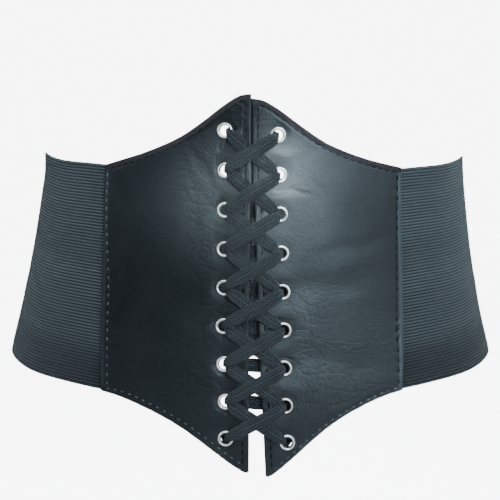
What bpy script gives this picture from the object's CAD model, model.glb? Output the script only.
import math

import bpy
import numpy as np
from mathutils import Matrix, Vector
from mathutils.kdtree import KDTree


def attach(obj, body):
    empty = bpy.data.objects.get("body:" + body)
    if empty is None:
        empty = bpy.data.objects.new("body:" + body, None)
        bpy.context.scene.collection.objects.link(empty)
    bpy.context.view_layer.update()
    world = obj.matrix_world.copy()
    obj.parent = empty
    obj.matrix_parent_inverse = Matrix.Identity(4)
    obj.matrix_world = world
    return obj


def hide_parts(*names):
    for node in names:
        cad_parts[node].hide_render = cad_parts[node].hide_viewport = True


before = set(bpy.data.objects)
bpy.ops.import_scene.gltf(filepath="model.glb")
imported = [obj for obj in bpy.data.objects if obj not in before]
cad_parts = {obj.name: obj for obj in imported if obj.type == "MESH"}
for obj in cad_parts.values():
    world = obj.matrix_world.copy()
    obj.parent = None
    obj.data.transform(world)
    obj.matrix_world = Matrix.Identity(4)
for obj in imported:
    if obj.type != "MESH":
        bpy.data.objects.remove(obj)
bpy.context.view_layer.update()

# Camera
# The belt is seen from straight in front and a little above, from 0.7 m away, with a lens long enough that
# its two sides turn away only slightly.
CAMERA_PLACE = (-0.0006, -0.7, 0.075)
CAMERA_DIP = 5.1  # degrees below level
CAMERA_LENS = 74.8  # mm, on a 36 mm wide picture

bpy.ops.object.select_all(action="DESELECT")
bpy.ops.object.camera_add(location=CAMERA_PLACE, rotation=(math.radians(90 - CAMERA_DIP), 0, 0))
camera = bpy.context.object
camera.data.lens = CAMERA_LENS
camera.data.clip_start = 0.02
bpy.context.scene.camera = camera


# Studio
# A pale floor that curves up into a wall behind the belt. A window-like light from the upper right and two
# narrow ones in front draw the highlights on the leather, one overhead picks out the ribs and the upper
# edges, and broad weak ones fill in from the right and from the left.
FLOOR_DROP = 0.32
SWEEP_WIDTH = 9.0
SWEEP_FRONT = -3.0
SWEEP_BACK = 2.6
SWEEP_CURVE = 0.9
SWEEP_TOP = 3.2
SWEEP_GLOW = 7.4  # seen by the camera alone
AIR_GLOW = 8.5  # the same
AIR_LIGHT = 0.08  # what the air gives to the belt
COOL_LIGHT = (0.72, 0.89, 1.0)


def shaped_grid(name, across, up, place, shade=None):
    """A grid primitive of across by up faces, its vertices moved to place(u, v); u and v run from 0 to 1.

    What shade(u, v) gives is kept at the vertices for the material.
    """
    bpy.ops.object.select_all(action="DESELECT")
    bpy.ops.mesh.primitive_grid_add(x_subdivisions=across, y_subdivisions=up, size=1)
    piece = bpy.context.object
    piece.name = name
    points = np.empty(len(piece.data.vertices) * 3, np.float32)
    piece.data.vertices.foreach_get("co", points)
    u, v = points[0::3] + 0.5, points[1::3] + 0.5
    moved = np.asarray(place(u.astype(float), v.astype(float)), np.float32)
    piece.data.vertices.foreach_set("co", moved.ravel())
    if shade:
        kept = piece.data.attributes.new("shade", "FLOAT", "POINT")
        kept.data.foreach_set("value", np.asarray(shade(u.astype(float), v.astype(float)), np.float32))
    piece.data.update()
    return piece


def set_sockets(tree, node, sockets):
    """Sets a node's inputs to values, or links other nodes' outputs to them."""
    for key, value in sockets.items():
        if isinstance(value, bpy.types.NodeSocket):
            tree.links.new(value, node.inputs[key])
        else:
            node.inputs[key].default_value = value


def shader_node(tree, kind, sockets, **settings):
    """A shader node; sockets maps its inputs to values or to other nodes' outputs."""
    made = tree.nodes.new(kind)
    for name, value in settings.items():
        setattr(made, name, value)
    set_sockets(tree, made, sockets)
    return made


def maths(tree, operation, *values):
    """The result of an operation on values or other nodes' outputs."""
    made = shader_node(tree, "ShaderNodeMath", dict(enumerate(values)), operation=operation)
    return made.outputs["Value"]


def new_material(name):
    """A material with its node tree and its Principled shader."""
    made = bpy.data.materials.new(name)
    made.use_nodes = True
    return made, made.node_tree, made.node_tree.nodes["Principled BSDF"]


def sweep_point(u, v):
    flat = SWEEP_BACK - SWEEP_CURVE - SWEEP_FRONT
    bend = SWEEP_CURVE * math.pi / 2
    run = v * (flat + bend + SWEEP_TOP)
    turn = np.clip((run - flat) / SWEEP_CURVE, 0, math.pi / 2)
    y = SWEEP_FRONT + np.minimum(run, flat) + SWEEP_CURVE * np.sin(turn)
    z = -FLOOR_DROP + SWEEP_CURVE * (1 - np.cos(turn)) + np.maximum(run - flat - bend, 0)
    return np.stack([(u - 0.5) * SWEEP_WIDTH, y, z], -1)


sweep = shaped_grid("studio_sweep", 4, 60, sweep_point)
bpy.ops.object.shade_smooth()

sweep_paint, tree, shader = new_material("pale_sweep")
seen = shader_node(tree, "ShaderNodeLightPath", {}).outputs["Is Camera Ray"]
looks = {
    "Base Color": (0.86, 0.87, 0.88, 1),
    "Roughness": 0.9,
    "Emission Color": (1, 1, 1, 1),
    "Emission Strength": maths(tree, "MULTIPLY", seen, SWEEP_GLOW),
}
set_sockets(tree, shader, looks)
sweep.data.materials.append(sweep_paint)

air = bpy.data.worlds.new("studio_air")
bpy.context.scene.world = air
air.use_nodes = True
tree = air.node_tree
tree.nodes.clear()
seen = shader_node(tree, "ShaderNodeLightPath", {}).outputs["Is Camera Ray"]
dim = shader_node(tree, "ShaderNodeBackground", {"Color": (1.0, 0.96, 1.0, 1), "Strength": AIR_LIGHT})
bright = shader_node(tree, "ShaderNodeBackground", {"Color": (1, 1, 1, 1), "Strength": AIR_GLOW})
chosen = shader_node(tree, "ShaderNodeMixShader", {0: seen, 1: dim.outputs[0], 2: bright.outputs[0]})
shader_node(tree, "ShaderNodeOutputWorld", {"Surface": chosen.outputs["Shader"]})


def soft_light(name, place, aim, size, power, spread=180):
    """A square area light at place, turned to aim; spread, in degrees, is what its grid lets out."""
    turn = (Vector(aim) - Vector(place)).to_track_quat("-Z", "Y").to_euler()
    bpy.ops.object.light_add(type="AREA", location=place, rotation=turn)
    light = bpy.context.object
    light.name = name
    light.data.size = size
    light.data.energy = power
    light.data.color = COOL_LIGHT
    light.data.spread = math.radians(spread)


soft_light("window_light", (0.32, -0.95, 0.46), (0.02, -0.1, 0.095), 0.3, 0.52, 30)
soft_light("small_light", (0.18, -0.95, 0.17), (0.028, -0.1, 0.060), 0.06, 0.019, 6)
soft_light("small_left_light", (-0.22, -0.95, 0.17), (-0.042, -0.1, 0.052), 0.05, 0.005, 4.5)
soft_light("broad_light", (1.05, -0.75, 0.40), (0.05, 0, 0.03), 0.6, 5.4)
soft_light("left_light", (-1.5, -0.2, 0.7), (-0.1, 0, 0), 0.6, 7)
soft_light("overhead_light", (0.1, -0.35, 1.5), (0, 0, 0), 1.2, 24)


# Front panels
# Each half of the front is faux leather, cut to a peak above and a point below and wrapped round the waist.
# Its edges are folded in and stitched down all round, so the leather rises beside the seam and dips at each
# stitch. The right half sits a little lower, and the lacing lets the halves part towards the bottom.
WAIST_WIDTH = 0.296
WAIST_DEPTH = 0.213
SIDE_RISE = 0.013
SIDE_SAG = 0.0018  # the belt sags this much between the seams and the sides
SAG_PLACE = math.radians(60)
SAG_REACH = math.radians(14)
BACK_DIP = 0.007
DIP_START = math.radians(82)
DIP_LENGTH = math.radians(26)
BAND_HEIGHT = 0.1314
PANEL_WIDTH = 0.092
PANEL_WALL = 0.002
PEAK_RISE = 0.0455
POINT_DROP = 0.0393
TOP_ARCH = {-1: 0.001, 1: -0.0005}  # half-way along, a panel's top edge stands this much higher
RIGHT_SLIP = 0.0025
OPENING = {-1: 0.0015, 1: 0.008}
TOP_OPENING = 0.00035
PRESSED_ABOVE = 0.044  # from this height up, the lace presses the two centre edges together
PRESSED_WITHIN = 0.022
EDGE_OVERLAP = 0.00004
STEP_ABOVE = 0.03  # from this height up, the left centre edge stands over the right one
STEP_REACH = 0.006
STEP_HEIGHT = 0.0005
HALF_BAND = BAND_HEIGHT / 2
ROUNDNESS = WAIST_DEPTH / WAIST_WIDTH
TOP_UP = HALF_BAND + PEAK_RISE
BOTTOM_UP = -HALF_BAND - POINT_DROP

# The waist by height: up in band heights, width and lean to the right in waist widths
WAIST_FORM = np.array([
    (-1.0, 1.13, -0.001),
    (-0.75, 1.12, -0.001),
    (-0.5, 1.097, -0.001),
    (-0.25, 1.05, -0.001),
    (0.0, 1.0, 0.0),
    (0.25, 0.963, 0.001),
    (0.5, 0.946, 0.005),
    (0.75, 0.942, 0.006),
    (1.0, 0.945, 0.006),
])

# How far the belt's sides swell out past the oval, by height in band heights: left, then right
SIDE_SWELL = np.array([
    (-0.5, 0.001, 0.0007),
    (-0.36, 0.0009, 0.0006),
    (-0.28, 0.0003, 0.0002),
    (-0.2, -0.0004, -0.0002),
    (-0.1, -0.0004, 0.0004),
    (-0.03, 0.0006, 0.0015),
    (0.05, 0.0011, 0.0024),
    (0.13, 0.0009, 0.0026),
    (0.25, 0.0, 0.0023),
    (0.4, -0.0002, 0.002),
    (0.5, 0.0008, 0.0017),
])

# A panel's edges: out from the centre in panel widths, then the top's rise in peak rises
TOP_EDGE = np.array([
    (0.0, 1.0),
    (0.07, 0.975),
    (0.13, 0.91),
    (0.2, 0.81),
    (0.32, 0.62),
    (0.45, 0.435),
    (0.58, 0.3),
    (0.73, 0.175),
    (0.87, 0.08),
    (1.0, 0.0),
])

# The same, with the bottom's drop in point drops
BOTTOM_EDGE = np.array([
    (0.0, 0.985),
    (0.02, 1.0),
    (0.07, 0.945),
    (0.2, 0.74),
    (0.32, 0.545),
    (0.45, 0.362),
    (0.58, 0.225),
    (0.73, 0.107),
    (0.87, 0.033),
    (1.0, 0.0),
])


def smooth(table, column, place):
    """A table's column on a smooth curve through its rows, which are placed by the first column."""
    stops, values = table[:, 0], table[:, column]
    slopes = np.empty(len(stops))
    slopes[1:-1] = (values[2:] - values[:-2]) / (stops[2:] - stops[:-2])
    slopes[0] = (values[1] - values[0]) / (stops[1] - stops[0])
    slopes[-1] = (values[-1] - values[-2]) / (stops[-1] - stops[-2])
    at = np.clip(np.asarray(place, float), stops[0], stops[-1])
    i = np.clip(np.searchsorted(stops, at, side="right") - 1, 0, len(stops) - 2)
    step = stops[i + 1] - stops[i]
    t = (at - stops[i]) / step
    return (
        (2 * t**3 - 3 * t**2 + 1) * values[i]
        + (t**3 - 2 * t**2 + t) * step * slopes[i]
        + (3 * t**2 - 2 * t**3) * values[i + 1]
        + (t**3 - t**2) * step * slopes[i + 1]
    )


def fade(share):
    t = np.clip(share, 0, 1)
    return t * t * (3 - 2 * t)


def half_width(up):
    return WAIST_WIDTH / 2 * smooth(WAIST_FORM, 1, np.asarray(up) / BAND_HEIGHT)


# Lengths along an oval of half-width 1, from the centre front to the centre back
OVAL_ANGLES = np.linspace(0, math.pi, 1441)
OVAL_MIDDLES = (OVAL_ANGLES[1:] + OVAL_ANGLES[:-1]) / 2
OVAL_SPEEDS = np.hypot(np.cos(OVAL_MIDDLES), ROUNDNESS * np.sin(OVAL_MIDDLES))
OVAL_LENGTHS = np.concatenate([[0], np.cumsum(OVAL_SPEEDS * math.pi / 1440)])


def angle_at(along, up):
    """The oval's own angle at a length along the belt from the centre front, negative on the left."""
    return np.sign(along) * np.interp(np.abs(along) / half_width(up), OVAL_LENGTHS, OVAL_ANGLES)


def at_angle(angle, up, out):
    """The point at an angle round the waist, a height, and a distance out from the leather's face."""
    half = half_width(up)
    x, y = ROUNDNESS * np.sin(angle), -np.cos(angle)
    length = np.hypot(x, y)
    share = np.asarray(up) / BAND_HEIGHT
    lean = WAIST_WIDTH * smooth(WAIST_FORM, 2, share)
    swell = np.where(np.asarray(angle) < 0, smooth(SIDE_SWELL, 1, share), smooth(SIDE_SWELL, 2, share))
    lean = lean + swell * np.sign(angle) * np.sin(angle) ** 6
    dip = BACK_DIP * fade((np.abs(angle) - DIP_START) / DIP_LENGTH)
    dip = dip + SIDE_SAG * np.exp(-(((np.abs(angle) - SAG_PLACE) / SAG_REACH) ** 2))
    return np.stack(
        [
            half * np.sin(angle) + out * x / length + lean,
            -half * ROUNDNESS * np.cos(angle) + out * y / length,
            up + SIDE_RISE * np.sin(angle) ** 2 - dip + 0 * half,
        ],
        -1,
    )


def on_belt(along, up, out):
    return at_angle(angle_at(along, up), np.asarray(up, float), np.asarray(out, float))


def opening_at(side, up):
    down = np.clip((TOP_UP - up) / (TOP_UP - BOTTOM_UP), 0, 1)
    return TOP_OPENING + (OPENING[side] - TOP_OPENING) * down**1.4


# How far the centre line stands to the right of the middle, by height in band heights
CENTRE_LINE = np.array([
    (-0.6, 0.0005),
    (-0.3, 0.0),
    (0.1, 0.0),
    (0.25, -0.0002),
    (0.36, -0.0006),
    (0.52, -0.00124),
    (0.7, -0.0017),
])

# How far the side seams bow out past the panel's width, by height in band heights: left, then right
SIDE_BOW = np.array([
    (-0.5, -0.0007, 0.0009),
    (-0.25, 0.0, 0.0022),
    (0.0, 0.0002, 0.0024),
    (0.25, 0.0004, 0.0016),
    (0.5, 0.0005, 0.0003),
])


def centre_at(up):
    return smooth(CENTRE_LINE, 1, np.asarray(up) / BAND_HEIGHT)


def centre_edge(side, up):
    """Where a panel's centre edge lies: above the second row the two edges are pressed together."""
    pressed = fade((up - PRESSED_ABOVE) / PRESSED_WITHIN)
    return opening_at(side, up) * (1 - pressed) - EDGE_OVERLAP * pressed


def centre_step(side, along, up):
    """How far a panel stands in or out at its centre edge."""
    reach = np.exp(-np.abs(along - centre_at(up)) / STEP_REACH) * fade((up - STEP_ABOVE) / STEP_ABOVE)
    return -side * STEP_HEIGHT * reach


def slip_at(side, share):
    return RIGHT_SLIP * share if side > 0 else 0 * share


def panel_top(side, out):
    arch = TOP_ARCH[side] * 4 * out * (1 - out)
    return HALF_BAND + PEAK_RISE * smooth(TOP_EDGE, 1, out) + arch - slip_at(side, 1 - 0.3 * out)


def panel_bottom(side, out):
    return -HALF_BAND - POINT_DROP * smooth(BOTTOM_EDGE, 1, out) - slip_at(side, 1 - fade(1.4 * out))


def panel_along(side, out, up):
    opening = centre_edge(side, up)
    bow = smooth(SIDE_BOW, 1 if side < 0 else 2, np.asarray(up) / BAND_HEIGHT)
    return side * (opening + out * (PANEL_WIDTH + bow - opening)) + centre_at(up) * (1 - out) ** 3


def gathered(share, amount):
    """Moves evenly spaced shares of a width or height towards its two ends."""
    return share - amount * np.sin(2 * math.pi * share) / (2 * math.pi)


def panel_flat(side, u, v):
    """A place on a panel in its flat cut: along from the centre front, and up."""
    out = gathered(u, 0.6)
    rise = gathered(v, 0.5)
    bottom = panel_bottom(side, out)
    up = bottom + rise * (panel_top(side, out) - bottom)
    return panel_along(side, out, up), up


def flat_line(points, spacing):
    """Places at an even spacing along a line in the flat cut, with how far along it each one is."""
    points = np.array(points)
    lengths = np.concatenate([[0], np.cumsum(np.hypot(*np.diff(points, axis=0).T))])
    run = np.linspace(0, lengths[-1], max(2, round(lengths[-1] / spacing)))
    return np.stack([np.interp(run, lengths, points[:, 0]), np.interp(run, lengths, points[:, 1])], -1), run


def panel_borders(side):
    """The panel's four edges in its flat cut, each a line of points."""
    out = np.linspace(0, 1, 160)
    ends = np.array([0.0, 1.0])
    heights = [np.linspace(panel_bottom(side, e), panel_top(side, e), 160) for e in ends]
    top, bottom = panel_top(side, out), panel_bottom(side, out)
    return {
        "top": np.stack([panel_along(side, out, top), top], -1),
        "bottom": np.stack([panel_along(side, out, bottom), bottom], -1),
        "centre": np.stack([panel_along(side, 0.0, heights[0]), heights[0]], -1),
        "side": np.stack([panel_along(side, 1.0, heights[1]), heights[1]], -1),
    }


# Seams: how far each lies in from its edge, its stitch length, and how hard it pulls the leather in
SEAMS = {
    "top": (0.0033, 0.0048, 0.8),
    "bottom": (0.0024, 0.0046, 0.4),
    "centre": (0.0038, 0.0048, 0.3),
    "side": (0.0031, 0.0051, 0.8),
}
SIDE_INSET = {-1: 0.0018, 1: 0.0029}  # how far the side seam lies in at its upper end
SIDE_DRIFT = {-1: 0.0029, 1: 0.0014}  # how much farther in it lies farther down
BOTTOM_DRIFT = 0.0012  # the same for the left bottom seam, away from the side
RIGHT_SIDE_STITCH = 1.13  # the right side's stitches are longer than the left one's by this factor
BORDER_STEP = 0.0004
SEAM_STEP = 0.0003


def seam_lines(side):
    """The seams: edge, places in the flat cut, stitch length and pull. Each stops short of the next."""
    borders = panel_borders(side)
    inside = np.array([side * PANEL_WIDTH / 2, 0.0])
    lines = []
    for edge, (inset, stitch, pull) in SEAMS.items():
        points = borders[edge]
        if edge == "side":
            down = fade((0.05 - points[:, 1:]) / 0.06)
            low = 1 if side < 0 else fade((points[:, 1:] + 0.065) / 0.04)
            inset = SIDE_INSET[side] + SIDE_DRIFT[side] * down * low
            stitch *= 1 if side < 0 else RIGHT_SIDE_STITCH
        if edge == "bottom" and side < 0:
            inset = inset + BOTTOM_DRIFT * fade((np.abs(points[:, :1]) - PANEL_WIDTH) / -0.02)
        heading = np.gradient(points, axis=0)
        normal = np.stack([-heading[:, 1], heading[:, 0]], -1)
        normal /= np.linalg.norm(normal, axis=1)[:, None]
        normal *= np.sign(np.sum(normal * (inside - points), axis=1))[:, None]
        moved = points + normal * inset
        kept = np.ones(len(moved), bool)
        for other, (depth, _, _) in SEAMS.items():
            if other != edge:
                away = np.linalg.norm(moved[:, None] - borders[other][None], axis=2).min(1)
                kept &= away > depth * 0.98
        lines.append((edge, moved[kept], stitch, pull))
    return lines


def nearest(places, along, up):
    """Distance from each flat place to the nearest of places, and which one that is."""
    tree = KDTree(len(places))
    for i, (a, b) in enumerate(places):
        tree.insert((a, b, 0), i)
    tree.balance()
    found = [tree.find((a, b, 0)) for a, b in zip(along, up)]
    return np.array([f[2] for f in found]), np.array([f[1] for f in found])


# Creases and hollows of a panel: along and up in metres, length, turn in degrees, width and depth
CREASES = {
    -1: [
        (-0.0335, 0.072, 0.020, -62, 0.0011, 0.00040),
        (-0.0295, 0.070, 0.018, -60, 0.0009, 0.00035),
        (-0.0255, 0.066, 0.015, -58, 0.0009, 0.00032),
        (-0.0235, 0.059, 0.012, -50, 0.0010, 0.00030),
        (-0.0330, 0.050, 0.014, -70, 0.0016, 0.00008),
        (-0.0220, 0.036, 0.010, -35, 0.0010, 0.00020),
        (-0.0600, 0.046, 0.050, 14, 0.0060, 0.00040),
        (-0.0520, -0.030, 0.060, -8, 0.0080, 0.00045),
    ],
    1: [
        (0.0300, 0.074, 0.016, 35, 0.0012, 0.00025),
        (0.0260, 0.055, 0.014, -20, 0.0014, 0.00028),
        (0.0440, 0.050, 0.030, -50, 0.0016, 0.00020),
        (0.0560, 0.046, 0.034, -62, 0.0018, 0.00018),
        (0.0380, 0.034, 0.026, 25, 0.0016, 0.00022),
        (0.0600, 0.020, 0.050, 10, 0.0050, 0.00035),
        (0.0450, 0.000, 0.060, 6, 0.0070, 0.00045),
        (0.0500, -0.045, 0.060, -8, 0.0080, 0.00040),
    ],
}

# Puckers that the lacing draws between the rows: the row above, length, turn in degrees, width and height
PUCKERS = {
    -1: [
        (0, 0.012, 20, 0.0022, 0.00010),
        (1, 0.014, 24, 0.0024, 0.00016),
        (2, 0.014, 24, 0.0024, 0.00016),
        (3, 0.012, 20, 0.0024, 0.00012),
        (4, 0.012, 16, 0.0026, 0.00010),
    ],
    1: [
        (0, 0.018, -14, 0.0032, 0.00045),
        (1, 0.018, -18, 0.0032, 0.00048),
        (2, 0.016, -16, 0.0030, 0.00030),
        (3, 0.014, -10, 0.0028, 0.00020),
        (4, 0.014, -8, 0.0028, 0.00016),
        (6, 0.016, -4, 0.0028, 0.00026),
    ],
}
PUCKER_SHIFT = 0.0010  # out from the eyelets' column to a pucker's middle
PUCKER_DROP = 0.0010

FOLD_RADIUS = PANEL_WALL / 2
RIM_RAMP = 0.002  # within this of its edge, a panel's relief fades out
BACK_SHARE = 0.4  # of the relief of a piece's face that its back follows
EYELET_SINK = {-1: 0.0007, 1: 0.00035}
SINK_RADIUS = 0.004
SINK_REACH = 0.0036
BED_DEPTH = 0.00015  # the groove that an eyelet's rim beds into
BED_RADIUS = 0.0051
BED_REACH = 0.0008
STITCH_SINK = 0.00055
GROOVE_REACH = 0.0008
PADDING_PLACE = 0.0019  # the leather swells up this far beside a seam
PADDING_REACH = 0.0012
DULL_BOTTOM = 0.30  # how dull the left bottom border is, against the top one
WORN_SIDE = {-1: 0.30, 1: 0.85}
WORN_BOTTOM = {-1: 0.3, 1: 0.9}


def border_shades(side, along, up):
    """Below 0 on the dull turned-in borders, above 0 on the worn side and bottom rims, and 0 elsewhere."""
    away = {}
    for edge, line in panel_borders(side).items():
        away[edge], _ = nearest(flat_line(line, BORDER_STEP)[0], along, up)
    dull = 1 - fade((away["top"] - 0.0027) / 0.0008)
    if side < 0:
        dull = np.maximum(dull, DULL_BOTTOM * (1 - fade((away["bottom"] - 0.0028) / 0.0008)))
    strip = WORN_SIDE[side] * (1 - fade((away["side"] - 0.0024) / 0.0012))
    rim = WORN_BOTTOM[side] * (1 - fade((away["bottom"] - 0.0005) / 0.0007))
    return np.maximum(strip, rim) * (1 - dull) - dull


def rounded(edge, radius):
    """The share of its half thickness that a piece with a round rim has, by the distance from its edge."""
    return np.sqrt(np.clip(1 - (1 - np.clip(edge / radius, 0, 1)) ** 2, 0, 1))


def run_and_off(east, north, degrees):
    """How far along and off a line a place is, by its place from the line's middle and the line's turn."""
    turn = math.radians(degrees)
    run = east * math.cos(turn) + north * math.sin(turn)
    return run, north * math.cos(turn) - east * math.sin(turn)


def panel_relief(side, along, up):
    """How far the face stands out from its smooth form, and the share of its half thickness at its rims."""
    edges = np.concatenate([flat_line(line, BORDER_STEP)[0] for line in panel_borders(side).values()])
    from_edge, _ = nearest(edges, along, up)
    seams, phases, pulls = [], [], []
    for _, line, stitch, pull in seam_lines(side):
        points, run = flat_line(line, SEAM_STEP)
        seams.append(points)
        phases.append(run / (run[-1] / round(run[-1] / stitch)))
        pulls.append(np.full(len(points), pull))
    from_seam, found = nearest(np.concatenate(seams), along, up)
    wave = np.cos(2 * math.pi * np.concatenate(phases)[found])
    pull = np.concatenate(pulls)[found]
    inner = fade((from_edge - RIM_RAMP) / RIM_RAMP)
    relief = -STITCH_SINK * pull * (0.50 - 0.50 * wave) * np.exp(-((from_seam / GROOVE_REACH) ** 2))
    beside = np.exp(-(((from_seam - PADDING_PLACE) / PADDING_REACH) ** 2))
    relief += pull * beside * (0.00002 + inner * 0.00005 * wave)
    for row in range(EYELET_ROWS):
        a, b = eyelet_place(side, row)
        away = np.hypot(along - a, (up - b) * 0.85)
        relief -= EYELET_SINK[side] * np.exp(-np.maximum(away - SINK_RADIUS, 0) / SINK_REACH)
        relief -= BED_DEPTH * np.exp(-(((away - BED_RADIUS) / BED_REACH) ** 2))
    for a, b, length, turn, width, depth in CREASES[side]:
        run, off = run_and_off(along - a, up - b, turn)
        off = off + 0.25 * width * np.sin(run / length * 9)
        relief -= depth * np.exp(-((off / width) ** 2) - (run / (length / 2)) ** 4)
    for row, length, turn, width, height in PUCKERS[side]:
        a, b = (np.array(eyelet_place(side, row)) + np.array(eyelet_place(side, row + 1))) / 2
        b -= PUCKER_DROP
        run, off = run_and_off(along - a - side * PUCKER_SHIFT, up - b, turn)
        off /= np.where(off > 0, width, 2.2 * width)
        relief += height * np.exp(-(off**2) - (run / (length / 2)) ** 2)
    relief *= fade(from_edge / RIM_RAMP)
    return relief, rounded(from_edge, FOLD_RADIUS)


EYELET_ROWS = 9
EYELET_INSET = 0.0148
EYELET_DRAW = 0.00135
EYELET_BELOW_PEAK = 0.021
EYELET_ABOVE_POINT = 0.0197
EYELET_SAG = 0.0024
HOLE_RADIUS = 0.0036


def eyelet_place(side, row):
    """Where a hole is in the flat cut, by its row from the top."""
    first = TOP_UP - EYELET_BELOW_PEAK
    pitch = (first - BOTTOM_UP - EYELET_ABOVE_POINT) / (EYELET_ROWS - 1)
    sag = EYELET_SAG * math.sin(math.pi * row / (EYELET_ROWS - 1))
    up = first - pitch * row - sag - slip_at(side, 1)
    inset = EYELET_INSET - EYELET_DRAW * fade((row - 5) / 2)
    return float(side * (opening_at(side, up) + inset) + centre_at(up)), up


def directions(along, up):
    """The belt's directions at a flat place: across to the right, up the belt, and straight out."""
    reach = 0.0005
    across = Vector(on_belt(along + reach, up, 0) - on_belt(along - reach, up, 0)).normalized()
    rise = Vector(on_belt(along, up + reach, 0) - on_belt(along, up - reach, 0)).normalized()
    out = across.cross(rise).normalized()
    return across, out.cross(across), out


def seat(along, up, out=0.0):
    """The matrix that sets a shape made round the origin, facing +Z, on the belt at a flat place."""
    across, rise, outward = directions(along, up)
    turn = Matrix((across, rise, outward)).transposed().to_4x4()
    return Matrix.Translation(on_belt(along, up, 0)) @ turn @ Matrix.Translation((0, 0, out))


def select_only(pieces):
    bpy.ops.object.select_all(action="DESELECT")
    for piece in pieces:
        piece.select_set(True)
    bpy.context.view_layer.objects.active = pieces[0]


def join_pieces(pieces, name):
    """Joins pieces into the first one, as by hand."""
    select_only(pieces)
    if len(pieces) > 1:
        bpy.ops.object.join()
    joined = bpy.context.object
    joined.name = name
    return joined


def closed_up(piece, gap=1e-6):
    """Merges a piece's open seams, turns its faces outwards and shades it smooth."""
    select_only([piece])
    bpy.ops.object.mode_set(mode="EDIT")
    bpy.ops.mesh.select_all(action="SELECT")
    bpy.ops.mesh.remove_doubles(threshold=gap)
    bpy.ops.mesh.normals_make_consistent(inside=False)
    bpy.ops.object.mode_set(mode="OBJECT")
    bpy.ops.object.shade_smooth()
    return piece


def shell(name, across, up, surface, shade=None):
    """A thin closed piece: grids for its face, surface(u, v, 1), and its back, surface(u, v, -1), joined."""
    front = shaped_grid(name, across, up, lambda u, v: surface(u, v, 1), shade)
    behind = shaped_grid(name + "_back", across, up, lambda u, v: surface(u, v, -1), shade)
    return closed_up(join_pieces([front, behind], name), 2e-6)


def panel(side, name):
    made = {}

    def surface(u, v, outwards):
        along, up = panel_flat(side, u, v)
        if outwards > 0:
            made["relief"], made["fold"] = panel_relief(side, along, up)
        relief = made["relief"] if outwards > 0 else BACK_SHARE * made["relief"]
        out = -FOLD_RADIUS + outwards * FOLD_RADIUS * made["fold"] + relief
        return on_belt(along, up, out + centre_step(side, along, up))

    piece = shell(name, 84, 230, surface, lambda u, v: border_shades(side, *panel_flat(side, u, v)))
    punches = []
    for row in range(EYELET_ROWS):
        bpy.ops.object.select_all(action="DESELECT")
        bpy.ops.mesh.primitive_cylinder_add(vertices=32, radius=HOLE_RADIUS, depth=0.012)
        punch = bpy.context.object
        punch.data.transform(seat(*eyelet_place(side, row)))
        punches.append(punch)
    punch = join_pieces(punches, "eyelet_punch")
    select_only([piece])
    cut = piece.modifiers.new("eyelet_holes", "BOOLEAN")
    cut.operation = "DIFFERENCE"
    cut.solver = "EXACT"
    cut.object = punch
    bpy.ops.object.modifier_apply(modifier=cut.name)
    bpy.data.objects.remove(punch)
    return piece


left_panel = panel(-1, "left_leather")
right_panel = panel(1, "right_leather")


def spot_in(tree):
    return shader_node(tree, "ShaderNodeTexCoord", {}).outputs["Object"]


def parts_of(tree, vector):
    return shader_node(tree, "ShaderNodeSeparateXYZ", {"Vector": vector}).outputs


def noise(tree, place, scale, detail, distortion=0.0, roughness=0.5, output="Fac", **settings):
    """Cloudy noise over a place, as a value or as a colour."""
    sockets = {"Vector": place, "Scale": scale, "Detail": detail, "Distortion": distortion}
    sockets["Roughness"] = roughness
    return shader_node(tree, "ShaderNodeTexNoise", sockets, **settings).outputs[output]


def cells(tree, place, scale):
    """The distance to the borders of cells like pebbles."""
    sockets = {"Vector": place, "Scale": scale}
    made = shader_node(tree, "ShaderNodeTexVoronoi", sockets, feature="DISTANCE_TO_EDGE")
    return made.outputs["Distance"]


def between(tree, value, low, high, to_low=0.0, to_high=1.0, **settings):
    """A value carried over from one range to another."""
    sockets = {"Value": value, "From Min": low, "From Max": high, "To Min": to_low, "To Max": to_high}
    return shader_node(tree, "ShaderNodeMapRange", sockets, **settings).outputs["Result"]


def mixed(tree, factor, first, second, blend="MIX"):
    sockets = {"Factor": factor, "A": first, "B": second}
    return shader_node(tree, "ShaderNodeMix", sockets, data_type="RGBA", blend_type=blend).outputs[2]


def colour_ramp(tree, value, stops, interpolation="LINEAR"):
    """The colour for a value, from stops that each have a place from 0 to 1 and a colour or a grey."""
    made = shader_node(tree, "ShaderNodeValToRGB", {"Fac": value})
    made.color_ramp.interpolation = interpolation
    for place, _ in stops[1:-1]:
        made.color_ramp.elements.new(place)
    for stop, (place, colour) in zip(made.color_ramp.elements, stops):
        stop.position = place
        stop.color = (*colour, 1) if isinstance(colour, tuple) else (colour, colour, colour, 1)
    return made.outputs["Color"]


def bump(tree, height, strength, distance, before=None):
    """A normal that follows a height, laid over the normal that comes before."""
    sockets = {"Height": height, "Strength": strength, "Distance": distance}
    if before is not None:
        sockets["Normal"] = before
    return shader_node(tree, "ShaderNodeBump", sockets).outputs["Normal"]


# The leather is black with a blue-green cast, worn greyer at its rims and browner where it is turned in
LEATHER_TINTS = [(0.3, (0.0046, 0.0052, 0.0058)), (0.75, (0.0080, 0.0092, 0.0104))]
WORN_RIM = (0.042, 0.050, 0.056, 1)
TURNED_IN = (0.034, 0.029, 0.031, 1)

# The peaks and the middle of the panels have been handled least and are duller: gloss by height, which runs
# from 0 at HANDLED_FROM to 1 at HANDLED_TO
HANDLED_FROM = -0.1
HANDLED_TO = 0.1
HANDLING = [(0, 1), (0.30, 0.67), (0.52, 0.43), (0.70, 0.50)]
HANDLING += [(0.80, 0.65), (0.88, 0.62), (0.95, 0.46), (1, 0.42)]

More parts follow.
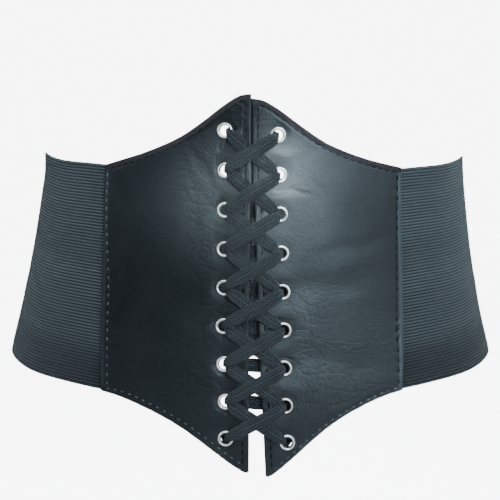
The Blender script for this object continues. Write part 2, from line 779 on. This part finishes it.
# Zones of hair-fine creases: the middle, reach, turn in degrees, scale and strength
FINE_CREASES = [
    ((-0.0290, -0.10, 0.0690), 0.013, -70, 260.0, 0.20),
    ((0.0330, -0.10, 0.0330), 0.018, -20, 240.0, 0.14),
    ((-0.0280, -0.10, 0.0440), 0.012, -15, 240.0, 0.10),
]

leather, tree, shader = new_material("black_faux_leather")
spot = spot_in(tree)
tint = colour_ramp(tree, noise(tree, spot, 22.0, 4.0), LEATHER_TINTS)
border = shader_node(tree, "ShaderNodeAttribute", {}, attribute_name="shade").outputs["Fac"]
edged = mixed(tree, between(tree, border, 0.0, 1.0), tint, WORN_RIM)
browned = mixed(tree, between(tree, border, 0.0, -1.0), edged, TURNED_IN)
dulled = between(tree, border, -1.0, 0.0, 0.06, 0.70)
level = between(tree, parts_of(tree, spot)["Z"], HANDLED_FROM, HANDLED_TO)
handled = colour_ramp(tree, level, HANDLING, "B_SPLINE")

# It is pebbled very finely, wrinkled softly, crackled, and netted with hairlines that slant across it
normal = bump(tree, cells(tree, spot, 1300.0), 0.35, 0.00012)
normal = bump(tree, noise(tree, spot, 38.0, 6.0, distortion=1.2), 0.28, 0.0015, normal)
normal = bump(tree, noise(tree, spot, 190.0, 5.0, distortion=2.5), 0.3, 0.0006, normal)
bent = mixed(tree, 0.03, spot, noise(tree, spot, 30.0, 3.0, output="Color"))
slant = {"Vector": bent, "Rotation": (0, math.radians(32), 0), "Scale": (0.28, 1.0, 1.0)}
slanted = shader_node(tree, "ShaderNodeMapping", slant).outputs["Vector"]
normal = bump(tree, between(tree, cells(tree, slanted, 150.0), 0.0, 0.10), 0.16, 0.0003, normal)


def crease_zone(centre, reach, turn, scale, strength, before):
    """Hair-fine creases side by side round a place, laid over the normal that comes before."""
    away = shader_node(tree, "ShaderNodeVectorMath", {0: spot, 1: centre}, operation="DISTANCE")
    near = {"interpolation_type": "SMOOTHSTEP"}
    zone = between(tree, away.outputs["Value"], reach, reach * 0.3, 0.0, strength, **near)
    sockets = {"Vector": spot, "Rotation": (0, math.radians(turn), 0)}
    turned = shader_node(tree, "ShaderNodeMapping", sockets).outputs["Vector"]
    sockets = {"Vector": turned, "Scale": scale, "Distortion": 7.0, "Detail": 4.0, "Detail Scale": 0.8}
    lines = shader_node(tree, "ShaderNodeTexWave", sockets, bands_direction="Z").outputs["Fac"]
    return bump(tree, maths(tree, "POWER", lines, 3.0), zone, 0.0006, before)


for zone in FINE_CREASES:
    normal = crease_zone(*zone, normal)
looks = {
    "Base Color": browned,
    "Roughness": between(tree, noise(tree, spot, 55.0, 5.0, roughness=0.6), 0.3, 0.7, 0.36, 0.52),
    "Specular IOR Level": maths(tree, "MULTIPLY", dulled, handled),
    "Specular Tint": (0.93, 0.975, 1.0, 1),
    "Normal": normal,
}
set_sockets(tree, shader, looks)


def cut_area(side):
    """The area of a panel's flat cut."""
    outs = np.linspace(0, 1, 401)
    return PANEL_WIDTH * float(np.mean([panel_top(side, out) - panel_bottom(side, out) for out in outs]))


for piece, node, side in ((left_panel, "left_panel", -1), (right_panel, "right_panel", 1)):
    piece.data.materials.clear()
    piece.data.materials.append(leather)
    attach(piece, "root")
    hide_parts(node)
    cut_area(side)


# Stitching
# Black bonded thread in a row along every edge of the panels. Each stitch is a short plump run of thread
# that sinks into the leather at both ends; in some rows it stands out like a bead.
THREAD = 0.0008
STITCH_SHARE = 0.66  # of the spacing
# The same, in the rows where the thread stands out as beads
BEAD_SHARE = {("bottom", -1): 0.38, ("bottom", 1): 0.38, ("side", -1): 0.38, ("side", 1): 0.42}
LEFT_SIDE_SINK = 0.0001  # how deep the left side's stitches lie; the others follow their seam's pull


def stitch_row(points, stitch, out, share):
    """The places of the stitches along a line in the flat cut, as matrices for a stitch made along +X."""
    line, run = flat_line(points, SEAM_STEP)
    count = round(run[-1] / stitch)
    length = run[-1] / count
    seats = []
    for i in range(count):
        middle = (i + 0.5) * length
        a, b = (np.array([np.interp(middle + d, run, line[:, k]) for k in (0, 1)]) for d in (-4e-4, 4e-4))
        turn = math.atan2(b[1] - a[1], b[0] - a[0])
        size = Matrix.Diagonal((length * share / 2, THREAD / 2, THREAD / 2, 1))
        seats.append(seat(*((a + b) / 2), out) @ Matrix.Rotation(turn, 4, "Z") @ size)
    return seats


def copy_of(base, matrix):
    """A copy of a piece with its own mesh, moved by a matrix."""
    copy = base.copy()
    copy.data = base.data.copy()
    copy.data.transform(matrix)
    bpy.context.scene.collection.objects.link(copy)
    return copy


def copies(base, matrices, name):
    """Copies of a piece joined into one piece; the piece itself goes."""
    made = [copy_of(base, matrix) for matrix in matrices]
    bpy.data.objects.remove(base)
    return join_pieces(made, name)


def plump_stitch():
    """A stitch of half-length 1 and half-width 1 along +X, with blunt ends."""
    bpy.ops.object.select_all(action="DESELECT")
    bpy.ops.mesh.primitive_uv_sphere_add(segments=8, ring_count=6, radius=1)
    base = bpy.context.object
    for vertex in base.data.vertices:
        x, y, z = vertex.co
        vertex.co = (math.copysign(abs(z) ** 0.6, z), x, y)
    return closed_up(base)


thread, tree, shader = new_material("black_thread")
wave = {"Vector": spot_in(tree), "Scale": 420.0}
twist = shader_node(tree, "ShaderNodeTexWave", wave, bands_direction="DIAGONAL").outputs["Fac"]
looks = {
    "Base Color": (0.005, 0.006, 0.007, 1),
    "Roughness": 0.7,
    "Specular IOR Level": 0.12,
    "Normal": bump(tree, twist, 0.5, 0.0001),
}
set_sockets(tree, shader, looks)

# The lower rows stand out and are rubbed paler
rubbed = thread.copy()
rubbed.name = "rubbed_thread"
rubbed.node_tree.nodes["Principled BSDF"].inputs["Base Color"].default_value = (0.110, 0.120, 0.128, 1)

for side, word in ((-1, "left"), (1, "right")):
    seats = {"dark": [], "pale": []}
    for edge, line, stitch, pull in seam_lines(side):
        left_side = edge == "side" and side < 0
        sink = LEFT_SIDE_SINK if left_side else 0.0005 * pull - 0.00012
        share = BEAD_SHARE.get((edge, side), STITCH_SHARE)
        seats["pale" if left_side or edge == "bottom" else "dark"] += stitch_row(line, stitch, -sink, share)
    for name, paint in (("dark", thread), ("pale", rubbed)):
        stitches = copies(plump_stitch(), seats[name], f"{word}_{name}_stitches")
        stitches.data.materials.append(paint)
        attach(stitches, "root")


# Eyelets
# Nickel-plated steel: a rolled rim in front, a barrel through the leather, and a curled washer behind.
# They are pressed in, so that the rim beds into the leather.
EYELET_SIDES = 48
# The section of an eyelet, round its rim, barrel and washer: radius, and height over the leather, in mm
EYELET_SECTION = np.array([
    (3.00, -2.3),
    (2.98, -1.2),
    (2.98, -0.3),
    (3.08, 0.35),
    (3.40, 0.82),
    (3.80, 1.00),
    (4.17, 0.80),
    (4.40, 0.28),
    (4.38, -0.12),
    (4.20, -0.20),
    (3.55, -0.20),
    (3.34, -0.60),
    (3.34, -1.70),
    (3.60, -2.00),
    (4.40, -2.05),
    (4.64, -2.30),
    (4.40, -2.60),
    (3.60, -2.66),
    (3.15, -2.58),
])


def round_section(section, share):
    """A place on the closed smooth curve through a section's rows."""
    count = len(section)
    run = share * count
    i = np.floor(run).astype(int)
    t = (run - i)[:, None]
    p = [section[(i + k) % count] for k in (-1, 0, 1, 2)]
    return 0.5 * (
        2 * p[1]
        + (p[2] - p[0]) * t
        + (2 * p[0] - 5 * p[1] + 4 * p[2] - p[3]) * t**2
        + (3 * p[1] - p[0] - 3 * p[2] + p[3]) * t**3
    )


def eyelet_point(u, v):
    place = round_section(EYELET_SECTION, v) / 1000
    turn = 2 * math.pi * u
    return np.stack([place[:, 0] * np.cos(turn), place[:, 0] * np.sin(turn), place[:, 1]], -1)


def uv_in(tree):
    return shader_node(tree, "ShaderNodeUVMap", {}).outputs["UV"]


# Round an eyelet's section, the barrel comes first and is in shade; the rim is bright
nickel, tree, shader = new_material("bright_nickel")
smear = noise(tree, spot_in(tree), 120.0, 2.0)
section = parts_of(tree, uv_in(tree))["Y"]
looks = {
    "Base Color": colour_ramp(tree, section, [(0.14, 0.30), (0.25, (0.95, 0.92, 0.88))]),
    "Metallic": 1.0,
    "Roughness": between(tree, smear, 0.0, 1.0, 0.22, 0.34),
    "Emission Color": colour_ramp(tree, section, [(0.17, 0.02), (0.27, (1, 0.98, 0.95))]),
    "Emission Strength": 0.45,
}
set_sockets(tree, shader, looks)

model_eyelet = closed_up(shaped_grid("eyelet_model", EYELET_SIDES, 2 * len(EYELET_SECTION), eyelet_point))
model_eyelet.data.materials.append(nickel)
for side, word in ((-1, "left"), (1, "right")):
    for row in range(EYELET_ROWS):
        eyelet = copy_of(model_eyelet, seat(*eyelet_place(side, row), -0.8 * EYELET_SINK[side]))
        eyelet.name = f"{word}_ring_{row + 1}"
        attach(eyelet, "root")
        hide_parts(f"{word}_eyelet_{row + 1}")
bpy.data.objects.remove(model_eyelet)


# Lace
# One length of flat black braid. From behind the top pair of eyelets its two halves come to the front and
# cross over each other from row to row, going straight across behind each row, and each ends in a knot
# behind a bottom eyelet. The half that starts on the right always lies on top.
LACE_WIDTH = 0.0075
LACE_WALL = 0.0010
LACE_RIDGES = 7
YARN_PITCH = 0.0014
UNDER = 0  # the half that lies against the leather
OVER = 1  # the half that crosses over it

# The two halves in a bore: how far each is from its middle, towards the centre front, and its width
BORE_STEP = {UNDER: 0.0010, OVER: 0.0}
BORE_WIDTH = {UNDER: 0.0038, OVER: 0.0040}
BORE_SHIFT = 0.0006  # up for the half that comes down to a bore, down for the half that leaves it
RIM_SHIFT = 0.0008
BORE_WALL = 0.0008
RIM_LAYER = {UNDER: 0.00145, OVER: 0.00255}
FLAT_LAYER = {UNDER: 0.00062, OVER: 0.00172}
BACK_LAYER = {UNDER: -0.0034, OVER: -0.0045}

# A half's way across the front: share of the way, width in lace widths, turn towards square, and lift from
# lying flat, 0, to riding over the rims, 1
FRONT_WAY = [
    (0.055, 0.84, 0.60, 0.96),
    (0.130, 0.95, 0.90, 1.00),
    (0.230, 1.00, 1.00, 0.62),
    (0.360, 1.00, 1.00, 0.22),
    (0.500, 1.00, 1.00, 0.05),
    (0.640, 0.99, 1.00, 0.22),
    (0.770, 0.95, 1.00, 0.62),
    (0.870, 0.86, 0.85, 1.00),
    (0.940, 0.74, 0.50, 0.96),
]


def lace_section(centre, wide, thick, width, wall=LACE_WALL):
    return np.concatenate([np.array(centre), np.array(wide) * width / 2, np.array(thick) * wall / 2])


def bore_sections(side, row, half, shift):
    """A half's two places inside a bore, front one first; shift is 1 where it comes down to it, else -1."""
    along, up = eyelet_place(side, row)
    across, rise, out = directions(along, up)
    inward = across * -side
    middle = Vector(on_belt(along, up, 0)) + inward * BORE_STEP[half] + rise * BORE_SHIFT * shift
    return [
        lace_section(middle + out * height, rise, inward * -1, BORE_WIDTH[half], BORE_WALL)
        for height in (0.0001 + 0.0009 * half, -0.0022)
    ]


def front_way(side, row, half):
    """From a bore across the front to the bore a row down on the other side."""
    a, b = np.array(eyelet_place(side, row)), np.array(eyelet_place(-side, row + 1))
    start = np.array([a[0] - side * BORE_STEP[half], a[1] - RIM_SHIFT])
    finish = np.array([b[0] + side * BORE_STEP[half], b[1] + RIM_SHIFT])
    sections = []
    for share, width, turn, lift in FRONT_WAY:
        along, up = start + (finish - start) * share
        height = FLAT_LAYER[half] + (RIM_LAYER[half] - FLAT_LAYER[half]) * lift
        across, rise, out = directions(along, up)
        slant = math.atan2(finish[1] - start[1], abs(finish[0] - start[0])) * -side * turn
        wide = rise * math.cos(slant) - across * math.sin(slant)
        sections.append(lace_section(on_belt(along, up, height), wide, out, LACE_WIDTH * width))
    return sections


def back_way(side, row, half, other):
    """From a bore straight across behind its row; where the lace turns back, its section turns with it."""
    a, b = np.array(eyelet_place(side, row)), np.array(eyelet_place(-side, row))
    start = a - (side * BORE_STEP[half], 0)
    finish = b + (side * BORE_STEP[other], 0)
    sections = []
    for share, width in ((0.05, 0.62), (0.16, 0.85), (0.35, 1.0), (0.65, 1.0), (0.84, 0.85), (0.95, 0.62)):
        along, up = start + (finish - start) * share
        height = BACK_LAYER[half] * (1 - share) + BACK_LAYER[other] * share
        across, rise, out = directions(along, up)
        sections.append(lace_section(on_belt(along, up, height), rise, -out, LACE_WIDTH * width))
    return sections


def stop_knot(side, half):
    """The lace's end behind a bottom bore, which leaves its knot towards the centre front."""
    along, up = eyelet_place(side, EYELET_ROWS - 1)
    across, rise, out = directions(along, up)
    inward = across * -side
    centre = Vector(on_belt(along, up, 0))
    sections = []
    for reach, depth, width, wall in (
        (0.0020, -0.0036, 0.0040, 0.0010),
        (0.0034, -0.0045, 0.0044, 0.0012),
        (0.0056, -0.0048, 0.0050, 0.0012),
        (0.0080, -0.0046, 0.0058, 0.0011),
        (0.0110, -0.0043, 0.0062, 0.0010),
    ):
        middle = centre + inward * reach + out * depth
        sections.append(lace_section(middle, rise, out * -1, width, wall))
    return sections


def half_lace(side, half):
    sections = bore_sections(side, 0, half, -1)[::-1]
    for row in range(EYELET_ROWS - 1):
        sections += front_way(side, row, half)
        sections += bore_sections(-side, row + 1, half, 1)
        if row + 2 < EYELET_ROWS:
            sections += back_way(-side, row + 1, half, half)
            sections += bore_sections(side, row + 1, half, -1)[::-1]
    return sections + stop_knot(-side, half)


lace_way = half_lace(1, OVER)[::-1] + back_way(1, 0, OVER, UNDER) + half_lace(-1, UNDER)
lace_way = np.array(lace_way)
lace_steps = np.linalg.norm(np.diff(lace_way[:, :3], axis=0), axis=1)
lace_run = np.concatenate([[0], np.cumsum(lace_steps)])
LACE_LENGTH = lace_run[-1]


def lace_at(run):
    """The lace's sections at lengths along it, on smooth curves through the sections of its way."""
    columns = []
    for k in range(lace_way.shape[1]):
        columns.append(smooth(np.stack([lace_run, lace_way[:, k]], -1), 1, run))
    return np.stack(columns, -1)


def lace_point(u, v):
    """u goes round the braid's section and v along the lace; the section closes to a line at both ends."""
    way = lace_at(v * LACE_LENGTH)
    turn = 2 * math.pi * u
    wide = np.sign(np.cos(turn)) * np.abs(np.cos(turn)) ** 0.75
    thick = np.sign(np.sin(turn)) * np.abs(np.sin(turn)) ** 0.5
    ridges = 0.80 + 0.20 * np.abs(np.sin(LACE_RIDGES * math.pi * (wide + 1) / 2)) ** 0.7
    end = np.clip(np.minimum(v, 1 - v) * LACE_LENGTH / 0.0004, 0, 1)
    return way[:, :3] + wide[:, None] * way[:, 3:6] + (thick * ridges * end)[:, None] * way[:, 6:9]


def lace_knot(side):
    """The knot that stops the lace behind a bottom eyelet: a plump knob with the lace's turns round it."""
    along, up = eyelet_place(side, EYELET_ROWS - 1)
    bpy.ops.object.select_all(action="DESELECT")
    bpy.ops.mesh.primitive_uv_sphere_add(segments=40, ring_count=24, radius=1)
    knob = bpy.context.object
    for vertex in knob.data.vertices:
        turn = math.atan2(vertex.co.y, vertex.co.x)
        twist = 0.13 * math.sin(3 * turn + 4 * vertex.co.z)
        vertex.co *= 1 + twist - 0.08 * abs(math.sin(5 * vertex.co.z + turn))
    size = Matrix.Diagonal((0.0044, 0.0039, 0.0016, 1))
    knob.data.transform(seat(along - side * 0.0010, up, -0.0048) @ size)
    return knob


lace = closed_up(shaped_grid("flat_lace", 56, round(LACE_LENGTH / 0.0017), lace_point))
lace = join_pieces([lace, lace_knot(-1), lace_knot(1)], "flat_lace")
bpy.ops.object.shade_smooth()

# The braid's yarns run in columns along the lace and slant up and down in turn
braid, tree, shader = new_material("black_braid")
parts = parts_of(tree, uv_in(tree))
side_on = maths(tree, "COSINE", maths(tree, "MULTIPLY", parts["X"], 2 * math.pi))
column = maths(tree, "MULTIPLY", side_on, LACE_RIDGES / 2)
rows = maths(tree, "MULTIPLY", parts["Y"], LACE_LENGTH / YARN_PITCH)
slant = maths(tree, "MULTIPLY_ADD", maths(tree, "PINGPONG", column, 1.0), 0.6, rows)
yarn = maths(tree, "SINE", maths(tree, "MULTIPLY", slant, 2 * math.pi))
crown = maths(tree, "ABSOLUTE", maths(tree, "COSINE", maths(tree, "MULTIPLY", column, math.pi)))
strand = maths(tree, "MULTIPLY_ADD", between(tree, yarn, -1.0, 1.0), 0.55, crown)
level = between(tree, strand, 0.0, 1.55)
shades = colour_ramp(tree, level, [(0.4, (0.003, 0.0035, 0.004)), (0.85, (0.039, 0.043, 0.047))])
# The lower crossings rub against each other most and are paler
rubbing = between(tree, parts_of(tree, spot_in(tree))["Z"], 0.05, -0.09, 1.0, 1.66)
paler = shader_node(tree, "ShaderNodeVectorMath", {0: shades, "Scale": rubbing}, operation="SCALE")
looks = {
    "Base Color": paler.outputs["Vector"],
    "Roughness": 0.75,
    "Specular IOR Level": 0.2,
    "Sheen Weight": 0.06,
    "Normal": bump(tree, strand, 0.9, 0.0003),
}
set_sockets(tree, shader, looks)
lace.data.materials.append(braid)
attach(lace, "root")
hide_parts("lace")


# Elastic bands
# Wide black elastic, woven in narrow rounded ribs that run along it. Its front end is sewn in behind the
# panel, and it lies in broad soft swells round the side.
BAND_WALL = 0.0016
BAND_TUCK = 0.010
BAND_FACE = -PANEL_WALL - 0.0003
RIB_PITCH = 0.00185
RIB_DEPTH = 0.00045
RIBS = round(BAND_HEIGHT / RIB_PITCH)
BACK_GAP = 0.0005
STRIP_WIDTH = 0.032
HALF_GIRTH = half_width(0) * OVAL_LENGTHS[-1]

# Broad swells along a band: up and reach in band heights, swell in metres
SWELLS = [
    (0.28, 0.10, 0.0005),
    (0.06, 0.09, -0.0005),
    (-0.14, 0.09, 0.0007),
    (-0.36, 0.10, -0.0006),
]


def band_offsets(side, u, v):
    """A place's angle, height and swell on a band, and its shares of the band's and of a rib's thickness."""
    first, last = PANEL_WIDTH - BAND_TUCK, HALF_GIRTH - BACK_GAP
    run = first + u * (last - first)
    angle = np.interp(run / half_width(0), OVAL_LENGTHS, OVAL_ANGLES)
    up = (v - 0.5) * BAND_HEIGHT
    calm = fade((run - PANEL_WIDTH) / 0.026) * fade((HALF_GIRTH - STRIP_WIDTH / 2 - run) / 0.026)
    swell = sum(size * np.exp(-(((up / BAND_HEIGHT - at) / reach) ** 2)) for at, reach, size in SWELLS)
    slip = slip_at(side, 1 - fade(2 * angle / math.pi - 1))
    edge = np.minimum(HALF_BAND - np.abs(up), np.minimum(run - first, last - run))
    share = rounded(edge, BAND_WALL / 2)
    rib = np.abs(np.sin(math.pi * v * RIBS)) ** 0.8
    rib = 1 - (1 - rib) * fade((HALF_BAND - np.abs(up)) / 0.001)
    return side * angle, up - slip * (0.5 + up / BAND_HEIGHT), swell * calm, share, rib


def band(side, name):
    middle = BAND_FACE - BAND_WALL / 2

    def surface(u, v, outwards):
        angle, up, swell, share, rib = band_offsets(side, u, v)
        depth = RIB_DEPTH if outwards > 0 else BACK_SHARE * RIB_DEPTH
        half_wall = BAND_WALL / 2 - depth * (1 - rib)
        return at_angle(angle, up, middle + swell + outwards * share * half_wall)

    return shell(name, 72, RIBS * 6, surface)


LOOPS = 300  # of the knit along a band

# The band is stretched more at some heights than at others, which lets the ribs part there and look darker:
# height from 0 to 1, and shade
STRIPES = [(0, 0.42), (0.12, 0.36), (0.21, 0.40), (0.29, 1.0), (0.40, 0.66)]
STRIPES += [(0.52, 1.0), (0.62, 0.62), (0.74, 1.0), (1, 0.75)]

elastic, tree, shader = new_material("ribbed_elastic")
weave = uv_in(tree)
parts = parts_of(tree, weave)
loop = maths(tree, "SINE", maths(tree, "MULTIPLY", parts["X"], LOOPS * 2 * math.pi))
crest = maths(tree, "ABSOLUTE", maths(tree, "SINE", maths(tree, "MULTIPLY", parts["Y"], RIBS * math.pi)))
shades = colour_ramp(tree, crest, [(0.52, (0.009, 0.011, 0.013)), (1.0, (0.079, 0.092, 0.100))])
wander = noise(tree, weave, 2.4, 1.0, noise_dimensions="2D")
height = maths(tree, "MULTIPLY_ADD", wander, 0.10, parts["Y"])
looks = {
    "Base Color": mixed(tree, 1.0, shades, colour_ramp(tree, height, STRIPES, "B_SPLINE"), "MULTIPLY"),
    "Roughness": 0.8,
    "Specular IOR Level": 0.25,
    "Sheen Weight": 0.2,
    "Normal": bump(tree, maths(tree, "MULTIPLY_ADD", loop, 0.5, crest), 0.5, 0.0002),
}
set_sockets(tree, shader, looks)

for side, word in ((-1, "left"), (1, "right")):
    ribbed = band(side, f"{word}_ribbed_band")
    ribbed.data.materials.append(elastic)
    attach(ribbed, "root")
    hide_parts(f"{word}_elastic_band")


# Back strip
# A plain strip of the same faux leather, sewn over the two bands' ends where they meet at the centre back.
# It is as high as the bands, and its rims are rounded.
STRIP_WALL = 0.002
STRIP_BACK = BAND_FACE + 0.0003


def strip_surface(u, v, outwards):
    run = (u - 0.5) * STRIP_WIDTH
    angle = np.sign(run) * np.interp((HALF_GIRTH - np.abs(run)) / half_width(0), OVAL_LENGTHS, OVAL_ANGLES)
    angle = np.where(run == 0, math.pi, angle)
    up = (v - 0.5) * BAND_HEIGHT
    edge = np.minimum(HALF_BAND - np.abs(up), STRIP_WIDTH / 2 - np.abs(run))
    share = rounded(edge, STRIP_WALL / 2)
    return at_angle(angle, up, STRIP_BACK + STRIP_WALL / 2 * (1 + outwards * share))


strip = shell("back_leather_strip", 40, 120, strip_surface)
strip.data.materials.append(leather)
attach(strip, "root")
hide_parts("back_strip")
